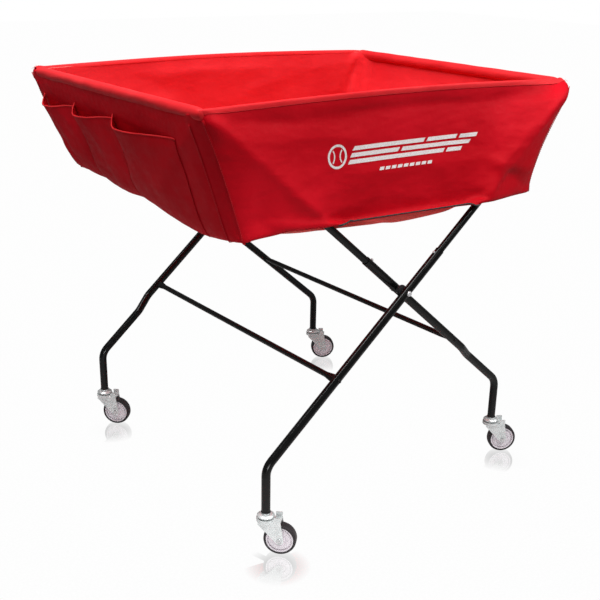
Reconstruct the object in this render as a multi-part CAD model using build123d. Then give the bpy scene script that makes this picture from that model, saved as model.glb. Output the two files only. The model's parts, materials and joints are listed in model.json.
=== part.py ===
from build123d import *
import math
import os

# Folding ball cart: a cloth hopper on a scissor frame with four swivel casters.
# Millimetres, +Z up, origin on the floor, +X along the long rim, the pockets on the -X end and the
# printed side facing -Y. Pieces are built about the vertical through the middle of the pivot axis,
# and saved shifted along Y. Frame A stands on its feet at -X and carries the rail at +X; frame B is
# the same frame turned half a turn about Z.

os.makedirs("parts", exist_ok=True)

# ---- frame tube ------------------------------------------------------------------------------
LOWER_R = 9.5
LOWER_WALL = 1.35
UPPER_R = 8.0
UPPER_WALL = 1.2
PIVOT_Z = 507.0
RAIL_X = 474.0
RAIL_Z = 914.0
FOOT_X = 362.0
FOOT_BOTTOM_Z = 96.5
OUTER_Y = 396.0
INNER_Y = 366.0
INNER_FOOT_Y = 350.0
SLOPE = (RAIL_Z - PIVOT_Z) / RAIL_X
LEG_ANGLE = math.degrees(math.atan(SLOPE))
FOOT_BEND_R = 40.0
RAIL_BEND_R = 45.0
JOG_FROM_X = 252.0
JOG_TO_X = 216.0
JOINT_X = 92.0
INSERT_LENGTH = 62.0

# ---- snap buttons ----------------------------------------------------------------------------
BUTTON_R = 3.0
BUTTON_OUT = 3.5
BUTTON_FIT = 0.05
BUTTON_BACK = 24.0

# ---- pivot -----------------------------------------------------------------------------------
PIVOT_R = 4.0
PIVOT_FIT = 0.05
SIDE_GAP = 0.15

# ---- crossbar --------------------------------------------------------------------------------
CROSSBAR_X = 184.0
CROSSBAR_R = 6.35
CROSSBAR_WALL = 1.2
FLARE_LENGTH = 26.0
FLARE_WIDE = 22.0
FLARE_THICK = 9.0
RIVET_R = 3.0
RIVET_FIT = 0.05

# ---- caster ----------------------------------------------------------------------------------
WHEEL_R = 35.0
TYRE_BORE_R = 29.2
TYRE_W = 22.0
HUB_W = 25.4
TRAIL = 31.0
AXLE_R = 3.0
RUNNING_FIT = 0.05
FORK_INSIDE = 26.0
FORK_SHEET = 2.0
CROWN_Z = 75.5
CUP_R = 20.0
CUP_TOP_Z = 85.5
KINGPIN_R = 5.0
STEM_R = 5.5
STEM_TOP_Z = 133.5

# ---- cloth hopper ----------------------------------------------------------------------------
CLOTH = 2.0
SIDE_PANEL_Y = 407.0
HEM_Z = 930.0
RIM_HALF_X = 486.0
FLOOR_HALF_X = 395.0
HOPPER_BOTTOM_Z = 682.0
END_PANEL_Y = 352.0
END_PANEL_TOP_Z = 886.0
FLOOR_TOP_Z = 674.0
BINDING_HALF_X = 196.0
POCKET_SPANS = ((-266.0, -24.0), (-20.0, 150.0), (154.0, 300.0))
POCKET_DEPTH = 26.0
POCKET_BOTTOM_Z = 700.0
POCKET_TOP_Z = 856.0
SLEEVE_R = 10.4
SLEEVE_FIT = 0.3

# The casters trail forward, so the pivot stands this far behind the middle of the overall outline.
ORIGIN_SHIFT_Y = 16.0

HALF_TURN = Rot(0, 0, 180)
CASTER_HEADINGS = {"a_outer": -45, "a_inner": -45, "b_outer": -30, "b_inner": -30}


def save(shape, name):
    """Writes one piece, moved so that the origin is under the middle of the overall outline."""
    placed = Pos(0, ORIGIN_SHIFT_Y, 0) * shape
    placed.label = name
    export_step(placed, "parts/" + name + ".step")


def leg_z(x):
    """Height of frame A's leg line at x."""
    return PIVOT_Z + SLOPE * x


def bent_tube(points, bend_r, outer_r, wall):
    """A round tube along straight runs joined by equal bends."""
    path = FilletPolyline(*points, radius=bend_r)
    start = Plane(origin=path @ 0, z_dir=path % 0)
    skin = sweep(start * Circle(outer_r), path=path)
    bore = sweep(start * Circle(outer_r - wall), path=path)
    return skin - bore


def rod(start, end, radius):
    """A solid round bar between two points."""
    axis = Vector(*end) - Vector(*start)
    plane = Plane(origin=start, z_dir=axis.normalized())
    return extrude(plane * Circle(radius), amount=axis.length)


def across(x, z, y_from, y_to, radius):
    """A solid round bar along Y."""
    return rod((x, y_from, z), (x, y_to, z), radius)


# ---- frame A, built once and turned for frame B ----------------------------------------------
def joint_pin_axis(side_y):
    """Start point and direction of a snap button: square to the leg, towards the top."""
    tilt = math.radians(LEG_ANGLE)
    centre = Vector(JOINT_X - 14 * math.cos(tilt), side_y, leg_z(JOINT_X) - 14 * math.sin(tilt))
    direction = Vector(-math.sin(tilt), 0, math.cos(tilt))
    return centre, direction


def button_bore(side_y, radius):
    """Cuts one wall of both tubes at a snap button."""
    centre, direction = joint_pin_axis(side_y)
    return rod(centre, centre + direction * 16, radius)


def upper_bow():
    """The top rail with its two rounded corners and the two legs that plug into the lower tubes."""
    tilt = math.radians(LEG_ANGLE)
    tip_x = JOINT_X - INSERT_LENGTH * math.cos(tilt)
    points = [
        (tip_x, -OUTER_Y, leg_z(tip_x)),
        (RAIL_X, -OUTER_Y, RAIL_Z),
        (RAIL_X, INNER_Y, RAIL_Z),
        (tip_x, INNER_Y, leg_z(tip_x)),
    ]
    bow = bent_tube(points, RAIL_BEND_R, UPPER_R, UPPER_WALL)
    for side_y in (-OUTER_Y, INNER_Y):
        bow -= button_bore(side_y, BUTTON_R + BUTTON_FIT)
    return bow


def drill_lower_leg(leg, side_y):
    """The pivot hole, the crossbar rivet hole and the snap button hole."""
    reach = LOWER_R + 4
    leg -= across(0, PIVOT_Z, side_y - reach, side_y + reach, PIVOT_R + PIVOT_FIT)
    leg -= across(-CROSSBAR_X, leg_z(-CROSSBAR_X), side_y - reach, side_y + reach, RIVET_R)
    leg -= button_bore(side_y, BUTTON_R + BUTTON_FIT)
    return leg


def lower_leg_outer():
    """The straight lower leg, bent to vertical at the foot."""
    points = [
        (-FOOT_X, -OUTER_Y, FOOT_BOTTOM_Z),
        (-FOOT_X, -OUTER_Y, leg_z(-FOOT_X)),
        (JOINT_X, -OUTER_Y, leg_z(JOINT_X)),
    ]
    leg = bent_tube(points, FOOT_BEND_R, LOWER_R, LOWER_WALL)
    return drill_lower_leg(leg, -OUTER_Y)


def lower_leg_inner():
    """The lower leg that jogs inward below the crossbar."""
    points = [
        (-FOOT_X, INNER_FOOT_Y, FOOT_BOTTOM_Z),
        (-FOOT_X, INNER_FOOT_Y, leg_z(-FOOT_X)),
        (-JOG_FROM_X, INNER_FOOT_Y, leg_z(-JOG_FROM_X)),
        (-JOG_TO_X, INNER_Y, leg_z(-JOG_TO_X)),
        (JOINT_X, INNER_Y, leg_z(JOINT_X)),
    ]
    leg = bent_tube(points, FOOT_BEND_R, LOWER_R, LOWER_WALL)
    return drill_lower_leg(leg, INNER_Y)


def flared_end(y_end, y_inner):
    """The crossbar's flattened end: round where it meets the bar, wide and thin at the leg."""
    low = Plane(origin=(0, y_inner, 0), z_dir=(0, 1, 0), x_dir=(1, 0, 0))
    high = Plane(origin=(0, y_end, 0), z_dir=(0, 1, 0), x_dir=(1, 0, 0))
    wide = high * RectangleRounded(FLARE_WIDE, FLARE_THICK, FLARE_THICK / 2 - 0.01)
    return loft([low * Circle(CROSSBAR_R), wide])


def crossbar():
    """The thin tube between the two lower legs of a frame, saddled onto them."""
    bar_from = -OUTER_Y + LOWER_R + FLARE_LENGTH
    bar_to = INNER_Y - LOWER_R - FLARE_LENGTH
    bar = across(0, 0, bar_from, bar_to, CROSSBAR_R)
    bar += flared_end(-OUTER_Y + 4, bar_from)
    bar += flared_end(INNER_Y - 4, bar_to)
    bar = Pos(-CROSSBAR_X, 0, leg_z(-CROSSBAR_X)) * Rot(0, -LEG_ANGLE, 0) * bar
    x, z = -CROSSBAR_X, leg_z(-CROSSBAR_X)
    bar -= across(x, z, bar_from + 2, bar_to - 2, CROSSBAR_R - CROSSBAR_WALL)
    for side_y, inward in ((-OUTER_Y, 1), (INNER_Y, -1)):
        bar -= rod((-300, side_y, leg_z(-300)), (0, side_y, leg_z(0)), LOWER_R)
        bar -= across(x, z, side_y, side_y + inward * (LOWER_R + 14), RIVET_R)
    return bar


def crossbar_rivets():
    """One domed rivet through each leg into the crossbar's end."""
    x, z = -CROSSBAR_X, leg_z(-CROSSBAR_X)
    rivets = []
    for side_y, inward in ((-OUTER_Y, 1), (INNER_Y, -1)):
        tip_y = side_y + inward * (LOWER_R + 13)
        shank = across(x, z, side_y - inward * LOWER_R, tip_y, RIVET_R - RIVET_FIT)
        plane = Plane(origin=(x, side_y - inward * LOWER_R, z), z_dir=(0, -inward, 0))
        head = extrude(plane * Circle(4.6), amount=2.0)
        head = fillet(head.edges().group_by(Axis.Y)[0 if inward > 0 else -1], 1.6)
        rivets.append(shank + head)
    return Compound(children=rivets)


def snap_button(side_y):
    """A domed button through both tubes, on a thin seat inside the upper tube."""
    centre, direction = joint_pin_axis(side_y)
    plane = Plane(origin=centre, z_dir=direction)
    length = LOWER_R + BUTTON_OUT - 1.5
    pin = extrude(Plane(origin=centre + direction * 1.5, z_dir=direction) * Circle(BUTTON_R), amount=length)
    pin = fillet(pin.edges().group_by(Axis(centre, direction))[-1], 1.6)
    return pin + extrude(plane.offset(0.6) * Circle(BUTTON_R + 0.6), amount=0.9)


def snap_spring(side_y):
    """The leaf that pushes the button out, lying on the far wall of the upper tube."""
    centre, direction = joint_pin_axis(side_y)
    tilt = math.radians(LEG_ANGLE)
    along = Vector(math.cos(tilt), 0, math.sin(tilt))
    plane = Plane(origin=centre - direction * (UPPER_R - UPPER_WALL - 0.7), z_dir=direction, x_dir=along)
    leaf = extrude(plane * Rectangle(2 * BUTTON_BACK, 5.0), amount=0.6)
    foot = extrude(plane * Pos(-BUTTON_BACK + 4, 0) * Rectangle(8, 3.0), amount=-0.4)
    return leaf + foot


# ---- pivot hardware --------------------------------------------------------------------------
def pivot_bolt(outer_y, inner_y):
    """A domed shoulder bolt from the outer leg's outside to the inner leg's inside."""
    out = math.copysign(1, outer_y)
    head_y = outer_y + out * (LOWER_R + SIDE_GAP)
    tail_y = inner_y - out * (LOWER_R + 9)
    shank = across(0, PIVOT_Z, head_y, tail_y, PIVOT_R)
    plane = Plane(origin=(0, head_y, PIVOT_Z), z_dir=(0, out, 0))
    head = extrude(plane * Circle(6.0), amount=3.4)
    head = fillet(head.edges().group_by(Axis.Y)[-1 if out > 0 else 0], 2.8)
    return shank + head


def pivot_spacer(outer_y, inner_y):
    """The round nylon spacer between two crossing legs."""
    middle = (outer_y + inner_y) / 2
    half = abs(outer_y - inner_y) / 2 - LOWER_R - SIDE_GAP
    body = across(0, PIVOT_Z, middle - half, middle + half, 11.0)
    body += across(0, PIVOT_Z, middle - 2, middle + 2, 13.0)
    return body - across(0, PIVOT_Z, middle - half - 1, middle + half + 1, PIVOT_R)


def pivot_nut(outer_y, inner_y):
    """The hexagon lock nut on the inside end of a pivot bolt."""
    out = math.copysign(1, outer_y)
    face_y = inner_y - out * (LOWER_R + SIDE_GAP)
    plane = Plane(origin=(0, face_y, PIVOT_Z), z_dir=(0, -out, 0))
    nut = extrude(plane * RegularPolygon(7.5, 6), amount=7.0)
    nut += extrude(plane * Circle(8.6), amount=1.2)
    return nut - across(0, PIVOT_Z, face_y + out, face_y - out * 8, PIVOT_R)


# ---- caster, built at the origin with its trail along +X ---------------------------------------
def caster_plug():
    """The plastic insert that closes the foot tube and grips the stem."""
    plug_r = LOWER_R - LOWER_WALL
    plug = Pos(0, 0, FOOT_BOTTOM_Z - 2) * extrude(Circle(LOWER_R + 0.8), amount=2)
    plug += Pos(0, 0, FOOT_BOTTOM_Z) * extrude(Circle(plug_r), amount=38)
    return plug - Pos(0, 0, FOOT_BOTTOM_Z - 3) * extrude(Circle(STEM_R), amount=42)


def caster_stem():
    """The stem, its top race and the riveted kingpin, in one turned piece."""
    rivet_z = CROWN_Z - 4.5
    race_z = CUP_TOP_Z + 0.1
    collar_z = FOOT_BOTTOM_Z - 2
    profile = Polyline(
        (0, rivet_z), (8.5, rivet_z), (8.5, rivet_z + 2.3), (KINGPIN_R, rivet_z + 2.3), (KINGPIN_R, race_z),
        (18.5, race_z), (18.5, race_z + 2.3), (15.0, race_z + 5.1), (9.0, race_z + 6.3), (9.0, collar_z),
        (STEM_R, collar_z), (STEM_R, STEM_TOP_Z - 2), (STEM_R - 1.5, STEM_TOP_Z), (0, STEM_TOP_Z),
        close=True,
    )
    return revolve(Plane.XZ * make_face(profile), axis=Axis.Z)


def fork_cheek():
    """One side plate of the fork, tapering to a round end at the axle."""
    arc_r = 9.0
    outline = Polyline(
        (-15, CROWN_Z + FORK_SHEET), (-15, CROWN_Z - 4), (TRAIL - 8.2, WHEEL_R - 3.4),
        (TRAIL + 9.0, WHEEL_R), (TRAIL + 2.5, CROWN_Z + FORK_SHEET), close=True,
    )
    cheek = make_face(outline) + Pos(TRAIL, WHEEL_R) * Circle(arc_r)
    tab = Pos(TRAIL - 4.5, CROWN_Z + 6.5) * RectangleRounded(14, 14, 1.2)
    cheek += tab
    cheek -= Pos(TRAIL, WHEEL_R) * Circle(AXLE_R)
    return extrude(Plane.XZ * cheek, amount=FORK_SHEET / 2, both=True)


def caster_fork():
    """The pressed fork: cup, crown, two cheeks and the raised tab at the back of the crown."""
    cheek_y = FORK_INSIDE / 2 + FORK_SHEET / 2
    crown = Box(TRAIL + 14.5, FORK_INSIDE + 2 * FORK_SHEET, FORK_SHEET, align=(Align.MIN, Align.CENTER, Align.MIN))
    fork = Pos(-12, 0, CROWN_Z) * crown
    fork += Pos(0, 0, CROWN_Z) * extrude(Circle(CUP_R), amount=FORK_SHEET)
    rim = Circle(CUP_R) - Circle(CUP_R - 3.0)
    fork += Pos(0, 0, CROWN_Z) * extrude(rim, amount=6.5)
    seat = Circle(13.0) - Circle(KINGPIN_R + 1)
    fork += Pos(0, 0, CROWN_Z) * extrude(seat, amount=CUP_TOP_Z - CROWN_Z)
    fork += Pos(0, cheek_y, 0) * fork_cheek()
    fork += Pos(0, -cheek_y, 0) * fork_cheek()
    fork -= Pos(0, 0, CROWN_Z - 5) * extrude(Circle(KINGPIN_R + RUNNING_FIT), amount=20)
    return fork


def caster_axle():
    """The axle bolt with a low head, and its nut."""
    half = FORK_INSIDE / 2 + FORK_SHEET
    axle = across(TRAIL, WHEEL_R, -half - 5, half + 0.5, AXLE_R)
    head_plane = Plane(origin=(TRAIL, half, WHEEL_R), z_dir=(0, 1, 0))
    head = extrude(head_plane * Circle(5.6), amount=2.8)
    head = fillet(head.edges().group_by(Axis.Y)[-1], 1.4)
    nut_plane = Plane(origin=(TRAIL, -half, WHEEL_R), z_dir=(0, -1, 0))
    nut = extrude(nut_plane * RegularPolygon(5.6, 6), amount=3.6)
    return axle + head + nut


def caster_core():
    """The wheel core: a disc with a raised rim, a deep and a shallow groove and a hub on each face."""
    half_rim = TYRE_W / 2 - 1.0
    half_hub = HUB_W / 2
    bore_r = AXLE_R + RUNNING_FIT
    side = [
        (bore_r, half_hub), (7.5, half_hub), (8.0, half_rim - 1.5), (13.0, half_rim - 1.5),
        (13.3, half_rim - 2.6), (14.3, half_rim - 2.6), (14.6, half_rim - 1.5), (23.4, half_rim - 1.5),
        (23.6, half_rim - 5.0), (25.8, half_rim - 5.0), (26.0, half_rim), (TYRE_BORE_R, half_rim),
    ]
    mirrored = [(r, -y) for r, y in reversed(side)]
    outline = Polyline(*side, *mirrored, close=True)
    core = revolve(Plane.XY * make_face(outline), axis=Axis.Y)
    return Pos(TRAIL, 0, WHEEL_R) * core


def caster_tyre():
    """The tyre: a plain crowned band with rounded shoulders."""
    half = TYRE_W / 2
    outline = Polyline(
        (TYRE_BORE_R, half), (WHEEL_R - 3.6, half), (WHEEL_R - 1.2, half - 1.2), (WHEEL_R - 0.2, half - 4.0),
        (WHEEL_R, half - 8.0), (WHEEL_R, 8.0 - half), (WHEEL_R - 0.2, 4.0 - half), (WHEEL_R - 1.2, 1.2 - half),
        (WHEEL_R - 3.6, -half), (TYRE_BORE_R, -half), close=True,
    )
    tyre = revolve(Plane.XY * make_face(outline), axis=Axis.Y)
    return Pos(TRAIL, 0, WHEEL_R) * tyre


# ---- cloth hopper ----------------------------------------------------------------------------
def side_panel():
    """The front or rear panel: a trapezium outside the legs, built facing -Y."""
    outline = Polyline(
        (-FLOOR_HALF_X, HOPPER_BOTTOM_Z + 3), (FLOOR_HALF_X, HOPPER_BOTTOM_Z + 3),
        (RIM_HALF_X, HEM_Z - 15), (-RIM_HALF_X, HEM_Z - 15), close=True,
    )
    face = Plane(origin=(0, -SIDE_PANEL_Y, 0), z_dir=(0, -1, 0), x_dir=(1, 0, 0)) * make_face(outline)
    return extrude(face, amount=CLOTH)


def end_panel():
    """The left or right panel between the legs, leaning outward, built at -X."""
    low_x = FLOOR_HALF_X
    high_x = RAIL_X - 10
    profile = Polyline(
        (-low_x, HOPPER_BOTTOM_Z), (-low_x + CLOTH, HOPPER_BOTTOM_Z),
        (-high_x + CLOTH, END_PANEL_TOP_Z), (-high_x, END_PANEL_TOP_Z), close=True,
    )
    return extrude(Plane.XZ * make_face(profile), amount=END_PANEL_Y, both=True)


def end_panel_x(z):
    """The outer face of the left end panel at height z."""
    share = (z - HOPPER_BOTTOM_Z) / (END_PANEL_TOP_Z - HOPPER_BOTTOM_Z)
    return -FLOOR_HALF_X - share * (RAIL_X - 10 - FLOOR_HALF_X)


def pocket(y_from, y_to):
    """One open-topped pocket: a wedge of cloth standing off the end panel."""
    half_width = (y_to - y_from) / 2
    gap = 0.5
    inner_low = (end_panel_x(POCKET_BOTTOM_Z) - gap, POCKET_BOTTOM_Z)
    inner_high = (end_panel_x(POCKET_TOP_Z) - gap, POCKET_TOP_Z)
    skin = Polyline(
        inner_low, inner_high, (inner_high[0] - POCKET_DEPTH, POCKET_TOP_Z),
        (inner_low[0] - 6, POCKET_BOTTOM_Z), close=True,
    )
    hollow = Polyline(
        (inner_low[0] - CLOTH, POCKET_BOTTOM_Z + CLOTH), (inner_high[0] - CLOTH, POCKET_TOP_Z + 1),
        (inner_high[0] - POCKET_DEPTH + CLOTH, POCKET_TOP_Z + 1),
        (inner_low[0] - 6 + CLOTH, POCKET_BOTTOM_Z + CLOTH), close=True,
    )
    bag = extrude(Plane.XZ * make_face(skin), amount=half_width, both=True)
    bag -= extrude(Plane.XZ * make_face(hollow), amount=half_width - CLOTH, both=True)
    return Pos(0, (y_from + y_to) / 2, 0) * bag


def pocket_strip():
    """Three pockets side by side, the widest at the front."""
    return Compound(children=[pocket(*span) for span in POCKET_SPANS])


def hopper_floor():
    """The floor sling between the legs."""
    half_x = FLOOR_HALF_X - 2
    floor = Box(2 * half_x, 2 * END_PANEL_Y, CLOTH, align=(Align.CENTER, Align.CENTER, Align.MAX))
    return Pos(0, 0, FLOOR_TOP_Z) * floor


def hem():
    """The folded hem along the top of a side panel, built facing -Y."""
    strip = Box(2 * RIM_HALF_X, 4.0, 15.0, align=(Align.CENTER, Align.MAX, Align.MAX))
    return Pos(0, -SIDE_PANEL_Y, HEM_Z) * strip


def edge_binding():
    """The narrow tape under a side panel's bottom edge, from leg to leg, built facing -Y."""
    strip = Box(2 * BINDING_HALF_X, 5.0, 6.0, align=(Align.CENTER, Align.MAX, Align.MIN))
    return Pos(0, -SIDE_PANEL_Y + 1, HOPPER_BOTTOM_Z - 3) * strip


def rail_sleeve():
    """The cloth sleeve around frame A's rail."""
    y_from = -OUTER_Y + RAIL_BEND_R
    y_to = INNER_Y - RAIL_BEND_R
    sleeve = across(RAIL_X, RAIL_Z, y_from, y_to, SLEEVE_R)
    return sleeve - across(RAIL_X, RAIL_Z, y_from - 1, y_to + 1, UPPER_R + SLEEVE_FIT)


# ---- write every piece -------------------------------------------------------------------------
FRAMES = {"a": Pos(0, 0, 0), "b": HALF_TURN}
FEET = {"outer": (-FOOT_X, -OUTER_Y), "inner": (-FOOT_X, INNER_FOOT_Y)}
JOINT_SIDES = {"outer": -OUTER_Y, "inner": INNER_Y}

for frame, turn in FRAMES.items():
    save(turn * upper_bow(), "upper_bow_" + frame)
    save(turn * lower_leg_outer(), "lower_leg_" + frame + "_outer")
    save(turn * lower_leg_inner(), "lower_leg_" + frame + "_inner")
    save(turn * crossbar(), "crossbar_" + frame)
    save(turn * crossbar_rivets(), "crossbar_rivets_" + frame)
    save(turn * rail_sleeve(), "rail_sleeve_" + frame)
    for side, side_y in JOINT_SIDES.items():
        save(turn * snap_button(side_y), "snap_button_" + frame + "_" + side)
        save(turn * snap_spring(side_y), "snap_spring_" + frame + "_" + side)

for end, out in (("front", -1), ("rear", 1)):
    save(pivot_bolt(out * OUTER_Y, out * INNER_Y), "pivot_bolt_" + end)
    save(pivot_spacer(out * OUTER_Y, out * INNER_Y), "pivot_spacer_" + end)
    save(pivot_nut(out * OUTER_Y, out * INNER_Y), "pivot_nut_" + end)

CASTER_PIECES = {
    "plug": caster_plug(),
    "stem": caster_stem(),
    "fork": caster_fork(),
    "axle": caster_axle(),
    "core": caster_core(),
    "tyre": caster_tyre(),
}
for frame, turn in FRAMES.items():
    for side, (foot_x, foot_y) in FEET.items():
        foot = turn * Pos(foot_x, foot_y, 0)
        heading = CASTER_HEADINGS[frame + "_" + side]
        place = Pos(*foot.position) * Rot(0, 0, heading)
        for piece, shape in CASTER_PIECES.items():
            save(place * shape, "caster_" + piece + "_" + frame + "_" + side)

save(side_panel(), "panel_front")
save(HALF_TURN * side_panel(), "panel_rear")
save(end_panel(), "panel_left")
save(HALF_TURN * end_panel(), "panel_right")
save(pocket_strip(), "pocket_strip")
save(hopper_floor(), "hopper_floor")
save(hem(), "hem_front")
save(HALF_TURN * hem(), "hem_rear")
save(edge_binding(), "edge_binding_front")
save(HALF_TURN * edge_binding(), "edge_binding_rear")
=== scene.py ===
import json
import math

import bpy
import numpy as np
from mathutils import Matrix, Vector, noise
from mathutils.bvhtree import BVHTree

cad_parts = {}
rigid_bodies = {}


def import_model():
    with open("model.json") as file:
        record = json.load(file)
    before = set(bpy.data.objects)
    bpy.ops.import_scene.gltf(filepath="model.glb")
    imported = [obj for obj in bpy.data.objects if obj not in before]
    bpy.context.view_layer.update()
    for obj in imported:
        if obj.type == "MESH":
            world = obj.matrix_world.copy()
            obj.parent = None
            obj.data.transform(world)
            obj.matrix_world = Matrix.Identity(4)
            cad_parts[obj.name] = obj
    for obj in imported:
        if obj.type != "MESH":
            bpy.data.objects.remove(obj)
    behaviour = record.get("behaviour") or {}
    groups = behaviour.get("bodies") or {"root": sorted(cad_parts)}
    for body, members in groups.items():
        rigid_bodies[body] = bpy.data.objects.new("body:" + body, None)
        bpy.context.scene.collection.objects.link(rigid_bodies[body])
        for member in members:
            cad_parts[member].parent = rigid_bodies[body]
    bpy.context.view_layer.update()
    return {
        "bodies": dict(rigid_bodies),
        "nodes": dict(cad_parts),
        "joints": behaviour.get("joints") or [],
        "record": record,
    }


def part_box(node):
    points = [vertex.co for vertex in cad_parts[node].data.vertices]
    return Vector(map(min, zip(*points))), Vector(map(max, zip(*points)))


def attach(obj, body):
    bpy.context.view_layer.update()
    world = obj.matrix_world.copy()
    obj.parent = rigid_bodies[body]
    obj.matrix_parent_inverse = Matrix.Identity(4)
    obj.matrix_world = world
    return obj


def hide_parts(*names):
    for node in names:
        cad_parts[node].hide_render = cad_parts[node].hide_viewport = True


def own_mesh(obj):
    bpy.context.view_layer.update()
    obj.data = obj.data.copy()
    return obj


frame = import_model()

# A folding ball cart: a red cloth hopper on a black scissor frame with four casters.
# Metres, in the CAD's frame. A "depth" is a distance from the hopper's middle plane along Y.


# ---- places read from the CAD ------------------------------------------------------------------
def middle(node, axis):
    low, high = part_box(node)
    return (low[axis] + high[axis]) / 2


MID_Y = middle("hopper_floor", 1)
RAIL_X = middle("rail_sleeve_a", 0)
RAIL_Z = middle("rail_sleeve_a", 2)
PIVOT_Z = middle("pivot_spacer_front", 2)
OUTER_Y = MID_Y - middle("lower_leg_a_outer", 1)
BOW_LOW, BOW_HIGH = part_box("upper_bow_a")
TUBE_R = MID_Y - OUTER_Y - BOW_LOW.y
INNER_Y = BOW_HIGH.y - MID_Y - TUBE_R
RIM_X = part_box("hem_front")[1].x
RIM_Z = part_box("hem_front")[1].z
BOTTOM_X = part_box("hopper_floor")[1].x + 0.002
BINDINGS = [node for node in frame["nodes"] if node.startswith("edge_binding")]
BOTTOM_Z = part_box(BINDINGS[0])[0].z + 0.003
BINDING_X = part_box(BINDINGS[0])[1].x
SLOPE = (RAIL_Z - PIVOT_Z) / RAIL_X
TILT = math.atan(SLOPE)
FOLD_JOINT = "scissor_fold"
FULL_FOLD = math.radians(max(next(j for j in frame["joints"] if j["name"] == FOLD_JOINT)["range_deg"]))
RAIL_BEND = 0.045
BEND_Z = RAIL_Z - RAIL_BEND * math.sin(TILT)

# ---- the cloth's own sizes ---------------------------------------------------------------------
CLOTH = 0.0012
CHANNEL_R = 0.0089
CLEAR = 0.0022
CORNER_Y = 0.359
CORNER_Z = RIM_Z - 0.008
BOTTOM_Y = 0.371
FRONT_CELLS = 84
END_CELLS = 60
SHELL_ROWS = 32
RIM_BOW = 0.009
SINK = 0.012
RUMPLE = 0.007
DRAG = 0.016
SHELL_SLACK = 1.014
BAG_SLACK = 1.016
SEAM_FEET = {"rear_left": (0.387, 0.342, 0.698)}
OUTER_CORNERS = ("front_right", "rear_left")
WRAP_AT = (0.0, 0.5, 0.8, 0.9, 0.96, 1.0)
WRAP_OUT = (0.0, 0.012, 0.034, 0.036, 0.026, 0.003)
WRAP_SIDE = (0.0, -0.003, -0.002, 0.002, 0.003, 0.0)
HEM_WAVE_AT = (0.0, 0.12, 0.36, 0.57, 0.80, 0.87, 1.0)
HEM_WAVE = (0.0, 0.022, 0.008, 0.008, -0.015, -0.017, 0.0)
LONG_FOLDS = (
    ((-0.480, 0.922), (-0.204, 0.685), 0.0100, 0.018, 0.060),
    ((-0.470, 0.915), (-0.420, 0.750), -0.0060, 0.016, 0.026),
    ((-0.300, 0.760), (-0.199, 0.690), 0.0035, 0.008, 0.020),
    ((-0.370, 0.715), (-0.225, 0.694), -0.0070, 0.014, 0.022),
    ((0.258, 0.762), (0.480, 0.925), 0.0170, 0.018, 0.070),
    ((0.222, 0.690), (0.258, 0.762), 0.0130, 0.014, 0.050),
    ((0.245, 0.762), (0.385, 0.724), 0.0090, 0.012, 0.030),
    ((0.270, 0.735), (0.375, 0.690), -0.0140, 0.020, 0.026),
    ((0.462, 0.900), (0.392, 0.730), -0.0050, 0.018, 0.024),
    ((-0.030, 0.722), (0.070, 0.699), 0.0030, 0.008, 0.016),
    ((0.110, 0.730), (0.205, 0.690), 0.0030, 0.010, 0.018),
    ((-0.190, 0.700), (-0.060, 0.730), 0.0030, 0.010, 0.024),
    ((-0.400, 0.894), (0.400, 0.894), -0.0080, 0.028, 0.014),
    ((0.470, 0.908), (0.260, 0.900), -0.0060, 0.012, 0.020),
    ((0.462, 0.892), (0.320, 0.872), 0.0050, 0.012, 0.018),
    ((-0.462, 0.905), (-0.290, 0.885), -0.0050, 0.012, 0.020),
    ((-0.380, 0.862), (-0.120, 0.840), 0.0040, 0.014, 0.040),
    ((-0.150, 0.775), (0.215, 0.770), 0.0070, 0.060, 0.024),
    ((0.150, 0.845), (0.262, 0.762), 0.0050, 0.020, 0.040),
)
END_FOLDS = (
    ((-0.355, 0.915), (-0.330, 0.700), -0.0050, 0.018, 0.030),
    ((-0.340, 0.900), (-0.150, 0.720), 0.0060, 0.012, 0.040),
    ((0.350, 0.905), (0.240, 0.700), 0.0060, 0.012, 0.035),
    ((-0.290, 0.870), (-0.350, 0.690), 0.0045, 0.012, 0.030),
    ((0.120, 0.720), (0.300, 0.800), 0.0035, 0.010, 0.030),
    ((0.060, 0.700), (-0.120, 0.780), 0.0035, 0.010, 0.030),
)
BAG_FOLDS = (
    ((0.485, 0.920), (0.300, 0.740), -0.0080, 0.016, 0.030),
    ((0.478, 0.915), (0.100, 0.800), -0.0080, 0.022, 0.050),
    ((0.480, 0.890), (0.420, 0.700), 0.0070, 0.012, 0.030),
    ((-0.470, 0.915), (-0.080, 0.830), -0.0060, 0.020, 0.050),
    ((-0.474, 0.910), (-0.300, 0.720), -0.0070, 0.016, 0.040),
    ((-0.060, 0.900), (0.180, 0.860), 0.0040, 0.014, 0.034),
    ((0.060, 0.750), (0.260, 0.700), -0.0050, 0.014, 0.030),
)
SEAM_CURVE = {"front_left": 1.35, "front_right": 1.95, "rear_right": 1.45, "rear_left": 1.2}


def lerp(a, b, t):
    return a + (b - a) * t


def clamp(v, low=0.0, high=1.0):
    return min(max(v, low), high)


def smooth(t):
    t = clamp(t)
    return t * t * (3 - 2 * t)


def leg_x(z):
    """Where frame A's leg line is along X at height z."""
    return (z - PIVOT_Z) / SLOPE


def ripple(*place):
    """Seedless noise between about -1 and 1."""
    return noise.noise(Vector(place))


# ---- mesh helpers ------------------------------------------------------------------------------
def add_mesh(name, points, faces, look, shade_smooth=True, uvs=None):
    mesh = bpy.data.meshes.new(name)
    mesh.from_pydata([tuple(p) for p in points], [], faces)
    if uvs is not None:
        layer = mesh.uv_layers.new(name="cloth")
        for loop in mesh.loops:
            layer.data[loop.index].uv = uvs[loop.vertex_index]
    mesh.validate()
    mesh.update()
    for polygon in mesh.polygons:
        polygon.use_smooth = shade_smooth
    piece = bpy.data.objects.new(name, mesh)
    bpy.context.scene.collection.objects.link(piece)
    mesh.materials.append(look)
    return piece


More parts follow.
